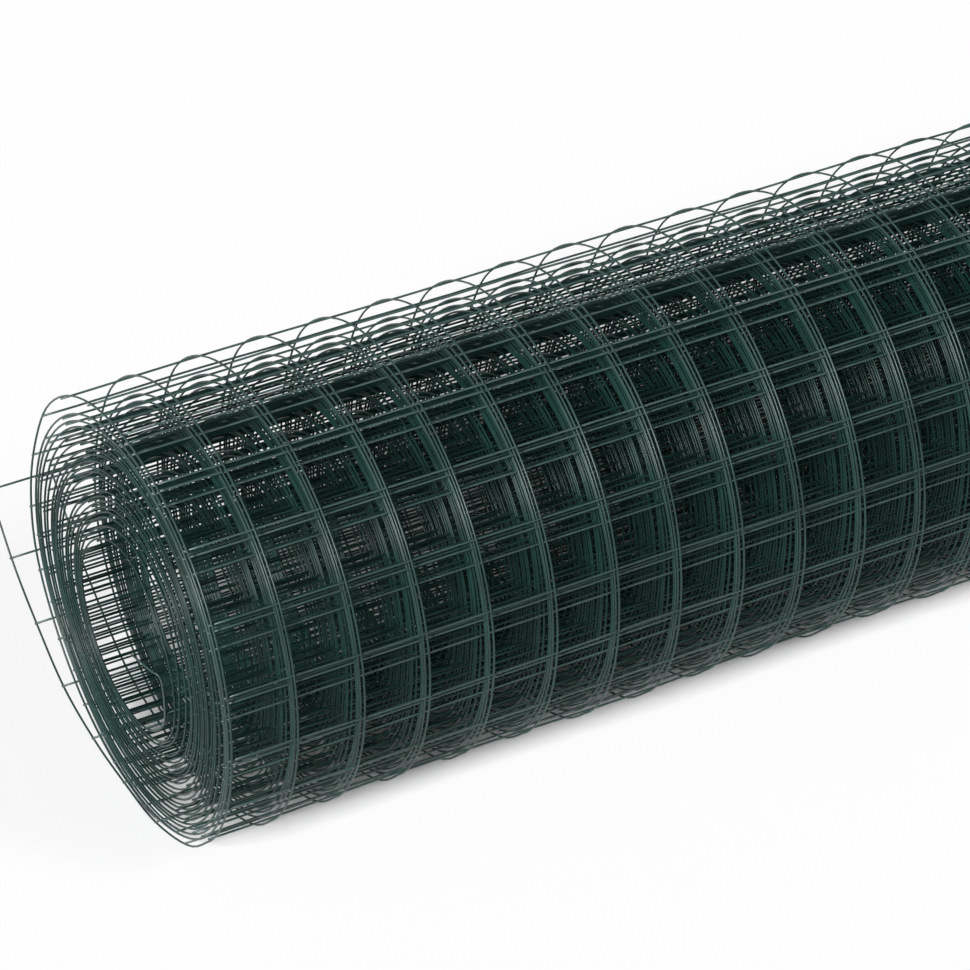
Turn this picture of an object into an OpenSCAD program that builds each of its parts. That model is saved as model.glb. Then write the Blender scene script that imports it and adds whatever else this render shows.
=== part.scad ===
// Roll of plastic-coated welded-mesh fencing, lying on its side.
// X runs along the roll, Y towards its back, and the floor is at Z = 0.
// The tight turns are one turned solid with a bore. The outermost turn has
// sprung loose over the back and top, and its tail runs out under the roll.

/* [Mesh] */
// Wire spacing, centre to centre, both ways
mesh_pitch = 25.4; // [19:0.1:38]
// Thickness of one coated wire
wire_d = 0.8; // [0.5:0.1:1.1]
// Meshes across the width of the fencing
cells_across = 24; // [8:1:48]
// Cross wire standing past the edge wire at each end
wire_overhang = 1; // [0.5:0.5:5]

/* [Roll] */
// Outside diameter of the tight turns
roll_d = 158; // [150:1:184]
// Diameter of the hollow through the middle
bore_d = 73; // [50:1:78]
// Distance of the hollow's centre behind the roll's centre
bore_shift = 6.5; // [0:0.5:10]
// Turns of fencing in the roll
turns = 20; // [8:1:22]
// Width of the seam that shows between two turns
seam_w = 0.7; // [0.4:0.1:0.9]
// Depth of that seam
seam_depth = 2; // [1:0.5:4]

/* [Loose turn] */
// Widest gap between the loose turn and the tight turns
lap_gap = 8; // [4:0.5:16]
// Direction of that gap, in degrees up from the back
lap_angle = 27; // [10:1:50]
// Radius of the tail that runs out under the roll
tail_r = 142; // [124:1:174]
// How far the tail climbs past its lowest line, in degrees
tail_rise = 54; // [30:1:65]

/* [Hidden] */
$fn = 120;

// One sheet is a line wire lying on a cross wire
sheet_t = 2 * wire_d;
width = cells_across * mesh_pitch + 2 * wire_overhang;
roll_r = roll_d / 2;
bore_r = bore_d / 2;

// The hollow sits nearer the back, so the turns lie closer together there
bore_front = bore_r - bore_shift;
bore_back = bore_r + bore_shift;
front_step = (roll_r - bore_front) / turns;
back_step = (roll_r - bore_back) / turns;
// Part of a turn left whole round the hollow before the seam starts
seam_lead = 0.6;
seam_turns = turns - 1;

// The loose turn is the roll's outline moved out along lap_angle
lap_shift = lap_gap + sheet_t;
// How far each end of the loose turn runs on inside the roll, in degrees
lap_root = 11;
lap_half = acos(-lap_shift / roll_d) + lap_root;

// The tail starts one wire deep in the roll, and its lowest line is level with the roll's
tail_nest = wire_d;
tail_off = tail_r - roll_r + tail_nest;
tail_lean = acos(1 - tail_nest / tail_off);
tail_y = tail_off * sin(tail_lean);
tail_z = tail_off * cos(tail_lean);

// The origin is under the middle of the whole outline
back_reach = tail_y + tail_r * sin(tail_rise);
mid_y = (back_reach - roll_r) / 2;

// How far a cutting tool passes the face it cuts
cut = 1;

// Half widths of the seam's path after a number of turns
function seam_back(turn) = bore_back + (turn + seam_lead) * back_step;
function seam_front(turn) = bore_front + (turn + 0.5 + seam_lead) * front_step;

// Part of a ring along the roll, between two angles counted up from the back
module ring_part(r_in, r_out, from, to, length)
    rotate_extrude(angle = to - from, start = from)
        translate([r_in, -length / 2])
            square([r_out - r_in, length]);

// Half a turn of seam in both end faces, from one half width at the back to one at the front
module seam_half(back, front, from) {
    r = (back + front) / 2;
    for (side = [-1, 1])
        translate([(back - front) / 2, 0, side * width / 2])
            ring_part(r - seam_w / 2, r + seam_w / 2, from, from + 180, 2 * seam_depth);
}

// The spiral between the turns, as half circles that meet at the front and the back
module seams() {
    for (turn = [0 : seam_turns - 1])
        seam_half(seam_back(turn), seam_front(turn), 0);
    for (turn = [0 : seam_turns - 2])
        seam_half(seam_back(turn + 1), seam_front(turn), 180);
}

module tight_turns()
    difference() {
        cylinder(h = width, r = roll_r, center = true);
        translate([bore_shift, 0, 0])
            cylinder(h = width + 2 * cut, r = bore_r, center = true);
        seams();
    }

module loose_turn()
    translate(lap_shift * [cos(lap_angle), sin(lap_angle), 0])
        ring_part(roll_r - sheet_t, roll_r, lap_angle - lap_half, lap_angle + lap_half, width);

module tail()
    translate([tail_y, tail_z, 0])
        ring_part(tail_r - sheet_t, tail_r, -90 - tail_lean, -90 + tail_rise, width);

module mesh_roll()
    color([0.10, 0.20, 0.17])
        translate([0, -mid_y, roll_r])
            rotate([90, 0, 90])
                union() {
                    tight_turns();
                    loose_turn();
                    tail();
                }

mesh_roll();
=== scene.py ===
"""Roll of green plastic-coated welded mesh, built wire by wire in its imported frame."""
import math

import bpy
import numpy as np
from mathutils import Matrix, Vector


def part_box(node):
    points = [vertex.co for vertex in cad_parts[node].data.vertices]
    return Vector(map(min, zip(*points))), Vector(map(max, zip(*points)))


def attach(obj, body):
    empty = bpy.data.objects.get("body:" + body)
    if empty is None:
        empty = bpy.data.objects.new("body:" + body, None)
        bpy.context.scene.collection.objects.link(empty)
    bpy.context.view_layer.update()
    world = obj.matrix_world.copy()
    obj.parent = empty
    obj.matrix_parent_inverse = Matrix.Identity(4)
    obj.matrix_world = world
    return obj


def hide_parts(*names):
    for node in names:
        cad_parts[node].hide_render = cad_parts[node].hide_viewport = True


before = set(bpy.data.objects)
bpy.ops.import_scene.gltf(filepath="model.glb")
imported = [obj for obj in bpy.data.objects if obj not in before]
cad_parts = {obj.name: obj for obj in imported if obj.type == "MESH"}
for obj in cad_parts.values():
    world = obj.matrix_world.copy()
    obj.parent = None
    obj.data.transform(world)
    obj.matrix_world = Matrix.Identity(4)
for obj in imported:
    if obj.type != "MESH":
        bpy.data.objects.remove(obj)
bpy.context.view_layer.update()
node_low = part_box("mesh_roll")[0]

# Sizes of the fencing, in metres
MESH = 0.0254
WIRE_D = 0.0008
CELLS = 24
OVERHANG = 0.0009
ROLL_R = 0.079
# Cross wires stand a little further apart than line wires, in mesh pitches
CROSS_PITCH = 1.05
# Where wires are welded they sink a tenth of a wire into each other
WELD_OFFSET = 0.45 * WIRE_D

# The roll's axis, from the frame
AXIS_Y = node_low[1] + ROLL_R
AXIS_Z = node_low[2] + ROLL_R
LEFT_X = -CELLS * MESH / 2

# Section of the winding, in mesh pitches from the roll's axis.
# Each row is one direction in degrees, counted up from the back and on over the top, front and
# bottom: where its first and last turns lie, how loose neighbours are, and the wider gaps after a turn
DIRECTIONS = (
    (185, 1.11, 2.95, 0.12, {0: 1.7, 1: 2.9, 2: 1.5, 3: 1.4, 5: 0.9, 15: 1.0, 16: 1.0}),
    (225, 1.27, 2.94, 0.12, {0: 2.3, 1: 0.5, 2: 0.8, 3: 0.7, 5: 0.6, 8: 1.0}),
    (270, 1.50, 2.92, 0.30, {}),
    (310, 1.64, 2.95, 0.15, {7: 1.5}),
    (350, 1.72, 3.20, 0.10, {4: 1.0, 7: 1.2, 8: 1.4, 13: 1.8, 15: 1.6}),
    (410, 1.42, 3.19, 0.04, {
        0: 1.0, 1: 1.1, 5: 0.5, 6: 0.2, 7: 0.9, 8: 0.5,
        12: 0.4, 13: 0.5, 14: 0.4, 15: 0.5, 16: 0.2, 17: 0.3,
    }),
    (450, 1.32, 3.22, 0.10, {0: 3.6, 1: 2.5, 4: 0.8, 7: 0.8, 10: 0.6, 11: 0.6, 17: 0.8}),
    (495, 1.13, 3.15, 0.08, {0: 5.0, 1: 3.0, 4: 0.8, 7: 0.8, 9: 0.4, 11: 1.0, 17: 0.6}),
)
LAST_TURN = 19
LAP_START = 270
# The sprung outer turn, as direction and distance from the axis
LAP = (
    (290, 3.02),
    (310, 3.15),
    (330, 3.29),
    (350, 3.42),
    (365, 3.41),
    (384, 3.405),
    (401, 3.47),
    (417, 3.465),
    (433, 3.43),
    (450, 3.37),
    (470, 3.31),
    (490, 3.25),
    (508, 3.19),
    (527, 3.10),
    (545, 3.03),
    (565, 3.01),
    (585, 3.02),
    (600, 3.04),
)
# The tail, back and up, as far as its last cross wire
TAIL = (
    (-0.40, -3.02),
    (0.60, -3.036),
    (1.63, -2.96),
    (2.65, -2.70),
    (3.53, -2.14),
    (4.30, -1.515),
    (5.028, -0.672),
)
# Degrees at the end of the outer turn that blend into the tail
TAIL_BLEND = 20

# The loose end of the first wire in the hollow, and how far it leans out of the roll
END_BEND = ((-1.09, 0.01), (-0.93, 0.11), (-0.56, 0.17))
END_REACH = 0.3 * MESH
END_STEPS = 8

# Painted light on the outer turns and painted shade on the turns they cover: how many outer turns are
# painted lit, and over how many more that fades
PAINTED_LIT_TURNS = 4.2
PAINTED_LIGHT_FADE = 1.4
# Share of the painted light that the line wires take, so they are painted darker than the cross wires:
# painted shade
LINE_PAINTED_LIGHT = 0.5
# Heights above the axis between which the top of the roll is painted paler, as painted light from
# above, and how much
PAINTED_TOP_LOW = 0.035
PAINTED_TOP_HIGH = 0.085
PAINTED_TOP_MOST = 0.55

STEPS_PER_CELL = 5
WIRE_SIDES = 6
WIRES_PER_PIECE = 7

# One turn's thickness in mesh pitches, and the closest that two turns lie
LAYER = 2 * WIRE_D / MESH
CLOSEST = 0.98 * LAYER
# How easily each turn is wound: the inner ones are the most uneven
INNER_TURNS = 13
INNER_UNEVEN = 0.75
OUTER_UNEVEN = 0.35
WINDING_SEED = 5034
UNEVEN = np.where(np.arange(LAST_TURN) < INNER_TURNS, INNER_UNEVEN, OUTER_UNEVEN)
TURN_EASE = 1 + UNEVEN * np.random.default_rng(WINDING_SEED).uniform(-1, 1, LAST_TURN)

# Cells at the tail's end that are slack, and over how many of them that comes on
LOOSE_CELLS = 27
SLACKEN_CELLS = 3
# How far the sheet ripples where it is tight and where it is slack, in metres
TIGHT_RIPPLE = 0.00015
LOOSE_RIPPLE = 0.0011
RIPPLE_WAVES = 5
# How far the sheet wanders along the roll, in metres, and over how many cells
DRIFT = 0.0005
DRIFT_CELLS = (9.0, 23.0, 61.0, 140.0)
rng = np.random.default_rng(11)

# The photograph's camera: angles in degrees, then mesh pitches from the axis at the left end
AZIMUTH = 28.69
ELEVATION = 35.62
TARGET = (5.59, 0.08, 0.61)
DISTANCE = 70.0
# Its focal length and image width, in pixels, and the sensor that stands for that width
FOCAL_PX = 4912
IMAGE_PX = 970
SENSOR_MM = 36

FLOOR_SIZE = 12


def turn_radii(angle, first, last, loose, gaps):
    """Distances of the turns from the axis in one direction."""
    count = LAST_TURN + 1 if angle <= LAP_START else LAST_TURN
    shares = np.full(count - 1, loose)
    for turn, share in gaps.items():
        if turn < count - 1:
            shares[turn] = share
    shares *= TURN_EASE[: count - 1]
    slack = last - first - (count - 1) * LAYER
    steps = LAYER + slack * shares / shares.sum()
    return np.concatenate([[first], first + np.cumsum(steps)])


def winding():
    """Direction and distance of the sheet at each degree, from its inner end to the tail."""
    knots = []
    for row in DIRECTIONS:
        for turn, radius in enumerate(turn_radii(*row)):
            knots.append((row[0] + 360 * turn, radius))
    for angle, radius in LAP:
        knots.append((angle + 360 * LAST_TURN, radius))
    knots = np.array(sorted(knots))
    angle, radius = knots.T
    slope = np.gradient(radius, angle)
    degrees = np.arange(angle[0], angle[-1] + 1)
    i = np.clip(np.searchsorted(angle, degrees, side="right") - 1, 0, len(angle) - 2)
    span = angle[i + 1] - angle[i]
    t = (degrees - angle[i]) / span
    # Cubic between the knots
    out = (
        (2 * t**3 - 3 * t**2 + 1) * radius[i]
        + (t**3 - 2 * t**2 + t) * span * slope[i]
        + (3 * t**2 - 2 * t**3) * radius[i + 1]
        + (t**3 - t**2) * span * slope[i + 1]
    )
    # No turn sinks into the one under it
    for k in range(360, len(out)):
        out[k] = max(out[k], out[k - 360] + CLOSEST)
    return np.radians(degrees), out


def smooth_through(points, per_span=40):
    """Catmull-Rom curve through points."""
    points = np.asarray(points, float)
    ends = np.vstack([2 * points[0] - points[1], points, 2 * points[-1] - points[-2]])
    t = np.linspace(0, 1, per_span, endpoint=False)[:, None]
    spans = []
    for p0, p1, p2, p3 in zip(ends, ends[1:], ends[2:], ends[3:]):
        spans.append(
            0.5 * (2 * p1 + (p2 - p0) * t + (2 * p0 - 5 * p1 + 4 * p2 - p3) * t**2
                   + (3 * p1 - p0 - 3 * p2 + p3) * t**3)
        )
    return np.vstack(spans + [points[-1:]])


def sheet_section():
    """The sheet in section, sampled evenly from its inner end to the tail's last cross wire."""
    phi, radius = winding()
    wound = np.column_stack([radius * np.cos(phi), radius * np.sin(phi)])
    tail = smooth_through(np.vstack([wound[[-TAIL_BLEND, -1]], TAIL]))
    path = np.vstack([wound[:-TAIL_BLEND], tail])
    run = np.concatenate([[0], np.cumsum(np.linalg.norm(np.diff(path, axis=0), axis=1))])
    count = int(run[-1] / CROSS_PITCH) * STEPS_PER_CELL
    places = run[-1] - np.arange(count, -1, -1) * CROSS_PITCH / STEPS_PER_CELL
    even = np.column_stack([np.interp(places, run, path[:, k]) for k in (0, 1)])
    along = np.gradient(even, axis=0)
    along /= np.linalg.norm(along, axis=1)[:, None]
    outward = np.column_stack([along[:, 1], -along[:, 0]])
    return even * MESH, outward


section, outward = sheet_section()
stations = np.arange(len(section))
loose_from = len(section) - LOOSE_CELLS * STEPS_PER_CELL
# How slack the sheet is along its length: 0 in the tight turns, 1 in the loose turn and tail
slackness = np.clip((stations - loose_from) / (SLACKEN_CELLS * STEPS_PER_CELL), 0, 1)
# How much painted light the sheet gets: 1 in the outer turns and the tail, 0 where other turns cover
# it and painted shade takes over
swept = np.degrees(np.unwrap(np.arctan2(section[:, 1], section[:, 0])))
covered = (swept[-1] - swept) / 360
painted_light = np.clip((PAINTED_LIT_TURNS - covered) / PAINTED_LIGHT_FADE, 0, 1)


def soft_waves(values, lengths):
    """Mean of smooth waves over values with the given lengths, each from a random start."""
    total = np.zeros_like(values, dtype=float)
    for length in lengths:
        total += np.sin(2 * np.pi * values / length + rng.uniform(0, 2 * np.pi))
    return total / len(lengths)


def random_wave():
    """One ripple: its length along the roll in metres and round it in cells, and both starts."""
    return (
        rng.uniform(55, 190) / 1000,
        rng.uniform(2.5, 9.0),
        rng.uniform(0, 2 * np.pi),
        rng.uniform(0, 2 * np.pi),
    )


drift = DRIFT * soft_waves(stations / STEPS_PER_CELL, DRIFT_CELLS)
waves = [random_wave() for _ in range(RIPPLE_WAVES)]


def ripple(x, station):
    """How far the sheet stands off its section at x, from -1 to 1."""
    height = 0
    for length, cells, start_x, start_s in waves:
        height = height + np.sin(2 * np.pi * x / length + start_x) * np.sin(
            2 * np.pi * station / (cells * STEPS_PER_CELL) + start_s
        )
    return height / len(waves)


def sheet_point(x, station, lift):
    """A point of the sheet at x along the roll, lift metres outside its middle surface."""
    size = TIGHT_RIPPLE + (LOOSE_RIPPLE - TIGHT_RIPPLE) * slackness[station]
    off = lift + size * ripple(x, station)
    place = section[station] + outward[station] * off[..., None]
    return np.stack([x + drift[station], place[..., 0] + AXIS_Y, place[..., 1] + AXIS_Z], axis=-1)


def tube(path, side_a, side_b):
    """Vertices and quads of a round wire along path, with its ends still open."""
    angles = (np.arange(WIRE_SIDES) * 2 * np.pi / WIRE_SIDES)[None, :, None]
    ring = np.cos(angles) * side_a[:, None] + np.sin(angles) * side_b[:, None]
    verts = (path[:, None] + WIRE_D / 2 * ring).reshape(-1, 3)
    i = np.arange(len(path) - 1)[:, None] * WIRE_SIDES
    j = np.arange(WIRE_SIDES)[None]
    k = (j + 1) % WIRE_SIDES
    quads = np.stack([i + j, i + k, i + WIRE_SIDES + k, i + WIRE_SIDES + j], axis=-1)
    return verts, quads.reshape(-1, 4)


def mesh_piece(name, parts):
    """One object from many tubes, each with its painted light along the way, and a flat end on each.
    """
    verts = []
    faces = []
    tones = []
    base = 0
    for points, quads, tone in parts:
        verts.append(points)
        tones.append(np.repeat(tone, WIRE_SIDES))
        faces.extend((quads + base).tolist())
        faces.append(list(range(base + WIRE_SIDES - 1, base - 1, -1)))
        faces.append(list(range(base + len(points) - WIRE_SIDES, base + len(points))))
        base += len(points)
    mesh = bpy.data.meshes.new(name)
    mesh.from_pydata(np.vstack(verts), [], faces)
    mesh.polygons.foreach_set("use_smooth", np.ones(len(mesh.polygons), dtype=bool))
    # The painted light and shade along the wires, for the coating to read
    mesh.attributes.new("painted_light", "FLOAT", "POINT").data.foreach_set("value", np.concatenate(tones))
    mesh.update()
    piece = bpy.data.objects.new(name, mesh)
    bpy.context.collection.objects.link(piece)
    return piece


def line_wire(index):
    """A wire along the sheet, on the outside of the cross wires."""
    x = np.full(len(stations), LEFT_X + index * MESH)
    path = sheet_point(x, stations, np.full(len(stations), WELD_OFFSET))
    side_a = np.column_stack([np.zeros(len(outward)), outward])
    side_b = np.tile([1.0, 0.0, 0.0], (len(outward), 1))
    # Line wires take only a share of the painted light
    return *tube(path, side_a, side_b), LINE_PAINTED_LIGHT * painted_light


def cross_wire(station):
    """A wire along the roll, welded under the line wires."""
    half = CELLS * MESH / 2 + OVERHANG
    x = np.linspace(-half, half, 2 * CELLS + 1)
    at = np.full(len(x), station)
    path = sheet_point(x, at, np.full(len(x), -WELD_OFFSET))
    side_a = np.tile([0.0, 1.0, 0.0], (len(x), 1))
    side_b = np.tile([0.0, 0.0, 1.0], (len(x), 1))
    # Cross wires take the full painted light of their place on the sheet
    return *tube(path, side_a, side_b), painted_light[at]


def loose_end():
    """The first wire's inner end, bent out into the hollow."""
    bend = np.vstack([section[[4, 2, 0]] / MESH, END_BEND])
    path = smooth_through(bend, END_STEPS) * MESH
    x = LEFT_X + drift[0] - END_REACH * np.linspace(0, 1, len(path)) ** 2
    path = np.column_stack([x, path[:, 0] + AXIS_Y, path[:, 1] + AXIS_Z])
    along = np.gradient(path, axis=0)
    along /= np.linalg.norm(along, axis=1)[:, None]
    side_b = np.tile([1.0, 0.0, 0.0], (len(path), 1))
    side_a = np.cross(along, side_b)
    # The loose end takes the full painted light
    return *tube(path, side_a, side_b), np.ones(len(path))


pieces = []
for first in range(0, CELLS + 1, WIRES_PER_PIECE):
    wires = [line_wire(i) for i in range(first, min(first + WIRES_PER_PIECE, CELLS + 1))]
    pieces.append(mesh_piece("line_wires_%d" % (first // WIRES_PER_PIECE + 1), wires))
cross_stations = range(len(stations) - 1, -1, -STEPS_PER_CELL)
pieces.append(mesh_piece("cross_wires", [cross_wire(s) for s in cross_stations]))
pieces.append(mesh_piece("loose_end", [loose_end()]))


def colour_ramp(nodes, stops):
    """Ramp node through two or more stops, each a position and a colour."""
    ramp = nodes.new("ShaderNodeValToRGB")
    elements = ramp.color_ramp.elements
    for element, (position, colour) in zip(elements, stops):
        element.position = position
        element.color = (*colour, 1)
    for position, colour in stops[2:]:
        elements.new(position).color = (*colour, 1)
    return ramp


def spread_to(nodes, low, high):
    """Node that spreads a value between 0 and 1 out between low and high."""
    spread = nodes.new("ShaderNodeMapRange")
    spread.inputs["To Min"].default_value = low
    spread.inputs["To Max"].default_value = high
    return spread


def coating():
    """Dark green plastic coating, satin and a little uneven, with painted light on the outer turns and
    the top and painted shade on the inner turns.
    """
    material = bpy.data.materials.new("green_coating")
    material.use_nodes = True
    nodes = material.node_tree.nodes
    links = material.node_tree.links
    shader = nodes["Principled BSDF"]
    shader.inputs["IOR"].default_value = 1.52
    coords = nodes.new("ShaderNodeTexCoord")
    # Painted light and shade along the wires, from the mesh attribute
    painted_light_attr = nodes.new("ShaderNodeAttribute")
    painted_light_attr.attribute_name = "painted_light"

    noise = nodes.new("ShaderNodeTexNoise")
    noise.inputs["Scale"].default_value = 60
    noise.inputs["Detail"].default_value = 4
    links.new(coords.outputs["Object"], noise.inputs["Vector"])
    # Painted shade: the coating's own uneven tone, darkened for the inner turns that other turns cover
    painted_shade_tone = colour_ramp(nodes, ((0.3, (0.0046, 0.0182, 0.0158)), (0.7, (0.0092, 0.034, 0.0295))))
    links.new(noise.outputs["Fac"], painted_shade_tone.inputs["Fac"])

    # Painted light from above: the top of the roll is painted paler
    place = nodes.new("ShaderNodeSeparateXYZ")
    painted_top = spread_to(nodes, 0, PAINTED_TOP_MOST)
    painted_top.inputs["From Min"].default_value = AXIS_Z + PAINTED_TOP_LOW
    painted_top.inputs["From Max"].default_value = AXIS_Z + PAINTED_TOP_HIGH
    painted_top_and_noise = nodes.new("ShaderNodeMath")
    # Painted light: paler tones for the outer turns, paler still towards the top
    painted_lit_tone = colour_ramp(nodes, (
        (0.3, (0.0196, 0.0426, 0.0385)),
        (0.7, (0.0286, 0.0653, 0.0594)),
        (1.0, (0.055, 0.097, 0.089)),
    ))
    links.new(coords.outputs["Object"], place.inputs["Vector"])
    links.new(place.outputs["Z"], painted_top.inputs["Value"])
    links.new(noise.outputs["Fac"], painted_top_and_noise.inputs[0])
    links.new(painted_top.outputs["Result"], painted_top_and_noise.inputs[1])
    links.new(painted_top_and_noise.outputs["Value"], painted_lit_tone.inputs["Fac"])

    # Painted shade on the inner turns, painted light on the outer ones
    tone = nodes.new("ShaderNodeMix")
    tone.data_type = "RGBA"
    links.new(painted_light_attr.outputs["Fac"], tone.inputs["Factor"])
    links.new(painted_shade_tone.outputs["Color"], tone.inputs["A"])
    links.new(painted_lit_tone.outputs["Color"], tone.inputs["B"])
    links.new(tone.outputs["Result"], shader.inputs["Base Color"])

    # The specular level follows the painted light too: weaker on the inner turns in painted shade
    shine = spread_to(nodes, 0.16, 0.42)
    links.new(painted_light_attr.outputs["Fac"], shine.inputs["Value"])
    links.new(shine.outputs["Result"], shader.inputs["Specular IOR Level"])

    fine = nodes.new("ShaderNodeTexNoise")
    fine.inputs["Scale"].default_value = 900
    gloss = spread_to(nodes, 0.26, 0.42)
    bump = nodes.new("ShaderNodeBump")
    bump.inputs["Strength"].default_value = 0.25
    bump.inputs["Distance"].default_value = 0.0001
    links.new(coords.outputs["Object"], fine.inputs["Vector"])
    links.new(fine.outputs["Fac"], gloss.inputs["Value"])
    links.new(gloss.outputs["Result"], shader.inputs["Roughness"])
    links.new(fine.outputs["Fac"], bump.inputs["Height"])
    links.new(bump.outputs["Normal"], shader.inputs["Normal"])
    return material


green = coating()
for piece in pieces:
    piece.data.materials.append(green)
    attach(piece, "root")
    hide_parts("mesh_roll")


def plain_floor():
    """White floor that keeps the roll's soft shadow."""
    bpy.ops.mesh.primitive_plane_add(size=FLOOR_SIZE, location=(0, 0, node_low[2]))
    floor = bpy.context.object
    floor.name = "floor"
    material = bpy.data.materials.new("white_floor")
    material.use_nodes = True
    nodes = material.node_tree.nodes
    links = material.node_tree.links
    nodes.remove(nodes["Principled BSDF"])
    # What the camera sees: white, with the roll's shadow on it
    white = nodes.new("ShaderNodeBsdfDiffuse")
    white.inputs["Color"].default_value = (1, 1, 1, 1)
    # What it throws back on the roll: less light
    plain = nodes.new("ShaderNodeBsdfDiffuse")
    plain.inputs["Color"].default_value = (0.25, 0.25, 0.25, 1)
    path = nodes.new("ShaderNodeLightPath")
    seen = path.outputs["Is Camera Ray"]
    for ray in ("Is Glossy Ray", "Is Transmission Ray"):
        either = nodes.new("ShaderNodeMath")
        either.operation = "MAXIMUM"
        links.new(seen, either.inputs[0])
        links.new(path.outputs[ray], either.inputs[1])
        seen = either.outputs["Value"]
    mix = nodes.new("ShaderNodeMixShader")
    links.new(seen, mix.inputs["Fac"])
    links.new(plain.outputs["BSDF"], mix.inputs[1])
    links.new(white.outputs["BSDF"], mix.inputs[2])
    links.new(mix.outputs["Shader"], nodes["Material Output"].inputs["Surface"])
    floor.data.materials.append(material)


def plain_world():
    """Even, low fill light."""
    world = bpy.data.worlds.new("studio")
    bpy.context.scene.world = world
    world.use_nodes = True
    fill = world.node_tree.nodes["Background"]
    fill.inputs["Color"].default_value = (1, 1, 1, 1)
    fill.inputs["Strength"].default_value = 0.04


def facing(direction):
    """Rotation of a lamp or camera that looks against direction."""
    back = np.array(direction, float)
    back /= np.linalg.norm(back)
    right = np.cross([0.0, 0.0, 1.0], back)
    right /= np.linalg.norm(right)
    return Matrix(np.column_stack([right, np.cross(back, right), back]).tolist())


def soft_sun(name, direction, strength, spread):
    """An even lamp that shines from direction, with soft shadows."""
    lamp = bpy.data.lights.new(name, "SUN")
    lamp.energy = strength
    lamp.angle = math.radians(spread)
    light = bpy.data.objects.new(name, lamp)
    light.rotation_euler = facing(direction).to_euler()
    bpy.context.collection.objects.link(light)


def photo_camera():
    """Camera at the photograph's angle, for a square image."""
    azimuth = math.radians(AZIMUTH)
    elevation = math.radians(ELEVATION)
    back = np.array([
        -math.sin(azimuth) * math.cos(elevation),
        -math.cos(azimuth) * math.cos(elevation),
        math.sin(elevation),
    ])
    place = np.array([LEFT_X, AXIS_Y, AXIS_Z]) + (np.array(TARGET) + back * DISTANCE) * MESH
    data = bpy.data.cameras.new("photo_camera")
    data.sensor_width = SENSOR_MM
    data.lens = FOCAL_PX / IMAGE_PX * SENSOR_MM
    data.clip_start = 0.05
    camera = bpy.data.objects.new("photo_camera", data)
    turn = facing(back).to_4x4()
    turn.translation = place.tolist()
    camera.matrix_world = turn
    bpy.context.collection.objects.link(camera)
    bpy.context.scene.camera = camera


plain_floor()
plain_world()
soft_sun("key", direction=(-0.74, -0.47, 0.48), strength=5.8, spread=14)
soft_sun("second", direction=(0.39, -0.65, 0.65), strength=0.3, spread=12)
photo_camera()
bpy.context.scene.view_settings.view_transform = "Standard"
